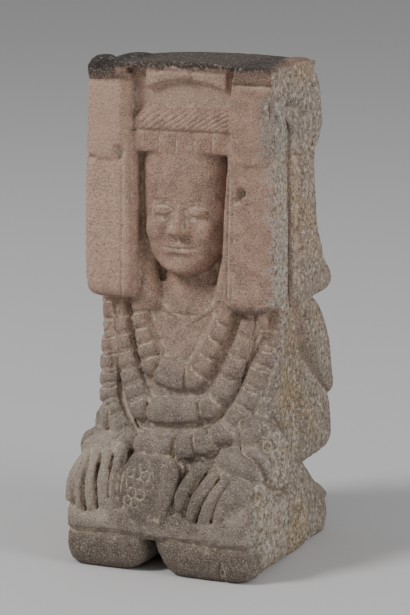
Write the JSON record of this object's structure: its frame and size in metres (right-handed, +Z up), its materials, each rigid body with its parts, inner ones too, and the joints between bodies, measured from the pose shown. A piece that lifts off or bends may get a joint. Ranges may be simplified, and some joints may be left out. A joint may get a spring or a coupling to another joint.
{
  "type": "kneeling stone goddess figure",
  "caption": "Kneeling goddess in volcanic stone: a face in a boxy temple headdress with long ear flaps, hanging strings of beads, hands on the thighs, flat underside.",
  "frame": {"origin": "bottom centre of the bounding box, on the flat underside of the knees and feet", "axes": "+Z up, from the knees to the top of the headdress; the figure faces -Y and its own left hand is on +X"},
  "size_m": [0.25, 0.292, 0.606],
  "materials": {
    "volcanic_stone": "rough carved volcanic stone, pinkish brown above and greyer below, with pale dust in the hollows"
  },
  "bodies": {
    "root": {"maize_goddess": "volcanic_stone"}
  },
  "joints": []
}
